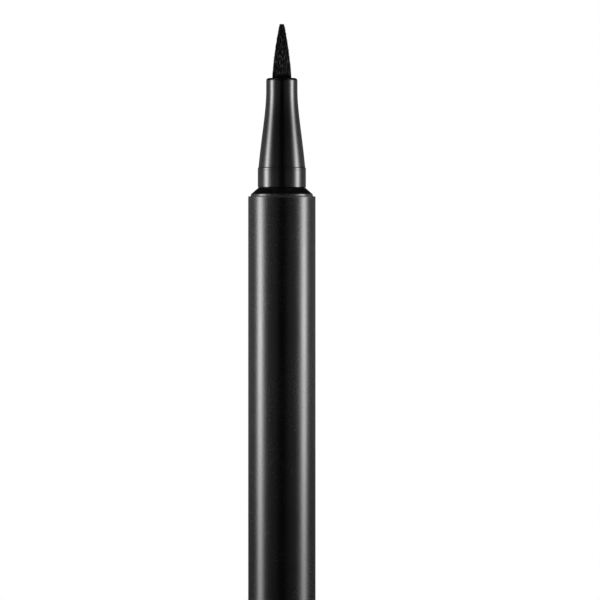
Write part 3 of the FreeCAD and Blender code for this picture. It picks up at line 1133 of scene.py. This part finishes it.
FRAME_WIDTH = 0.0909  # what the picture takes in across, at the pen
CAMERA_LENS = 500.0
SENSOR_WIDTH = 36.0
CAMERA_X = 0.00275
CAMERA_DROP = 0.04183  # of the picture's middle, under the nib's tip
WORLD_SEEN = 1.0
WORLD_LIGHT = 0.6
LAMP_SIDE = 0.7
LAMP_FRONT = 0.3
LAMP_HEIGHT = 0.5
LAMP_SIZE = 0.5
LAMP_POWER = 3.0
FLOOR_R = 1.0
FLOOR_FADE = 0.45
FLOOR_SEGMENTS = 96
FLOOR_MOTTLE = 90.0
SURROUND_R = 0.15
SURROUND_TOP = 0.7
SURROUND_BOTTOM = -0.8
SURROUND_SEGMENTS = 72
HALF_TURN = 180.0  # degrees


def make_camera():
    data = bpy.data.cameras.new("camera")
    data.lens = CAMERA_LENS
    data.sensor_width = SENSOR_WIDTH
    camera = add_object("camera", data)
    distance = FRAME_WIDTH * CAMERA_LENS / SENSOR_WIDTH
    camera.location = (CAMERA_X, -distance, tip - CAMERA_DROP)
    camera.rotation_euler = (math.pi / 2, 0, 0)
    bpy.context.scene.camera = camera


def make_world():
    """White to look at and in mirrors, and a softer light on everything else."""
    world = bpy.data.worlds.new("studio")
    world.use_nodes = True
    bpy.context.scene.world = world
    wiring = Wiring(world.node_tree)
    world.node_tree.nodes.clear()
    rays = wiring.node("ShaderNodeLightPath").outputs
    seen = wiring.math("ADD", rays["Is Camera Ray"], rays["Is Glossy Ray"])
    seen = wiring.math("ADD", seen, rays["Is Transmission Ray"], clamp=True)
    strength = wiring.ramp_up(seen, 0.0, 1.0, WORLD_LIGHT, WORLD_SEEN)
    background = wiring.node("ShaderNodeBackground", {"Color": grey(1.0), "Strength": strength})
    wiring.node("ShaderNodeOutputWorld", {"Surface": background.outputs["Background"]})


def make_lamp(name, side):
    """A large soft lamp, turned to the middle of the pen."""
    data = bpy.data.lights.new(name, "AREA")
    data.shape = "DISK"
    data.size = LAMP_SIZE
    data.energy = LAMP_POWER
    lamp = add_object(name, data)
    lamp.location = (side * LAMP_SIDE, -LAMP_FRONT, LAMP_HEIGHT)
    aim = lamp.location.copy()
    aim.z -= tip / 2
    lamp.rotation_mode = "QUATERNION"
    lamp.rotation_quaternion = aim.to_track_quat("Z", "Y")
    lamp.visible_glossy = False
    lamp.visible_camera = False


def floor_paint():
    """Pale floor that runs out into the white around it."""
    material, wiring, shader = new_finish("floor_paint")
    place = wiring.node("ShaderNodeTexCoord").outputs["Object"]
    away = wiring.length(place)
    mottle = wiring.noise(place, FLOOR_MOTTLE, GRAIN_DETAIL)
    paint(wiring, shader, mottle, low=grey(0.86), high=grey(0.88))
    wiring.feed(shader.inputs["Alpha"], wiring.ramp_up(away, FLOOR_FADE, FLOOR_R, 1.0, 0.0))
    shader.inputs["Roughness"].default_value = 0.9
    shader.inputs["Specular IOR Level"].default_value = 0.0
    return material


def ring(radius, height, segments):
    """Points of a level circle about the pen's axis."""
    angles = [math.tau * index / segments for index in range(segments)]
    return [(radius * math.cos(angle), radius * math.sin(angle), height) for angle in angles]


def make_floor():
    data = bpy.data.meshes.new("floor")
    data.from_pydata(ring(FLOOR_R, 0, FLOOR_SEGMENTS), [], [range(FLOOR_SEGMENTS)])
    data.materials.append(floor_paint())
    floor = add_object("floor", data)
    floor.visible_glossy = False


# Glow of the surround about the pen: degrees from the camera's side, and the share of the strips' glow
SURROUND_SHARES = (
    (0, 0.0),
    (8, 0.001),
    (15, 0.007),
    (24, 0.016),
    (38, 0.02),
    (48, 0.028),
    (55, 0.055),
    (61, 0.12),
    (66, 0.28),
    (71, 0.6),
    (76, 0.92),
    (80, 1.0),
    (84, 0.9),
    (89, 0.52),
    (94, 0.23),
    (99, 0.1),
    (105, 0.045),
    (115, 0.028),
    (130, 0.02),
    (147, 0.018),
    (157, 0.005),
    (HALF_TURN, 0.005),
)
# Glow of the surround up its wall: height, and the share of the full glow
SURROUND_HEIGHT_SHARES = (
    (SURROUND_BOTTOM, 0.1),
    (-0.22, 0.25),
    (-0.1, 0.6),
    (-0.02, 0.5),
    (0.03, 0.36),
    (0.055, 0.34),
    (0.075, 0.46),
    (0.085, 0.6),
    (0.094, 0.84),
    (0.103, 0.93),
    (0.13, 0.93),
    (0.148, 1.0),
    (0.16, 0.94),
    (0.167, 0.8),
    (0.173, 0.62),
    (0.181, 0.42),
    (0.192, 0.24),
    (0.22, 0.08),
    (SURROUND_TOP, 0.01),
)
STRIP_GLOW = 17.0
RIGHT_STRIP_SHARE = 0.9  # of the left strip's glow
SURROUND_TURN = 1.0  # degrees that the strips stand round to the right


def glow_curve(wiring, value, low, high, shares):
    """A curve of glow over a value from low to high, through shares of the full glow."""
    position = wiring.node(
        "ShaderNodeMapRange", {"Value": value, "From Min": low, "From Max": high}
    ).outputs["Result"]
    node = wiring.node("ShaderNodeValToRGB", {"Fac": position})
    ramp = node.color_ramp
    ramp.interpolation = "EASE"
    middle = 0.5
    while len(ramp.elements) < len(shares):
        ramp.elements.new(middle)
    for element, (at, _) in zip(ramp.elements, shares):
        element.position = (at - low) / (high - low)
    for element, (_, share) in zip(ramp.elements, shares):
        element.color = grey(share)
    return node.outputs["Color"]


def surround_glow():
    """Studio walls as the pen's gloss shows them: two tall soft strips, grey sides and a dark ceiling."""
    material = bpy.data.materials.new("surround_glow")
    material.use_nodes = True
    material.node_tree.nodes.clear()
    wiring = Wiring(material.node_tree)
    place = wiring.node("ShaderNodeTexCoord").outputs["Object"]
    part = wiring.node("ShaderNodeSeparateXYZ", {"Vector": place}).outputs
    towards = wiring.math("MULTIPLY", part["Y"], -1)
    bearing = wiring.math("DEGREES", wiring.math("ARCTAN2", part["X"], towards))
    bearing = wiring.math("ABSOLUTE", wiring.math("SUBTRACT", bearing, SURROUND_TURN))
    around = glow_curve(wiring, bearing, 0.0, HALF_TURN, SURROUND_SHARES)
    height = glow_curve(wiring, part["Z"], SURROUND_BOTTOM, SURROUND_TOP, SURROUND_HEIGHT_SHARES)
    left, right = -SURROUND_R / 2, SURROUND_R / 2
    side = wiring.ramp_up(part["X"], left, right, STRIP_GLOW, STRIP_GLOW * RIGHT_STRIP_SHARE)
    strips = wiring.math("MULTIPLY", wiring.math("MULTIPLY", around, height), side)
    emission = wiring.node("ShaderNodeEmission", {"Color": grey(1.0), "Strength": strips})
    wiring.node("ShaderNodeOutputMaterial", {"Surface": emission.outputs["Emission"]})
    return material


def make_surround():
    """Closed drum about the pen that only its gloss sees."""
    count = SURROUND_SEGMENTS
    low = ring(SURROUND_R, SURROUND_BOTTOM, count)
    high = ring(SURROUND_R, SURROUND_TOP, count)
    walls = [
        (index, (index + 1) % count, count + (index + 1) % count, count + index) for index in range(count)
    ]
    data = bpy.data.meshes.new("surround")
    data.from_pydata([*low, *high], [], [*walls, range(count), range(count, 2 * count)])
    data.materials.append(surround_glow())
    surround = add_object("surround", data)
    surround.visible_camera = False
    surround.visible_diffuse = False
    surround.visible_transmission = False
    surround.visible_volume_scatter = False
    surround.visible_shadow = False


def make_stage():
    make_camera()
    make_world()
    make_lamp("left_lamp", -1)
    make_lamp("right_lamp", 1)
    make_floor()
    make_surround()


bpy.context.scene.view_settings.view_transform = "Standard"
make_stage()
make_barrel()
make_nozzle()
make_collar()
make_nib()
make_reservoir()
make_film()
make_rear_plug()
make_cap()
make_sleeve()
make_inner_cap()
make_spring()
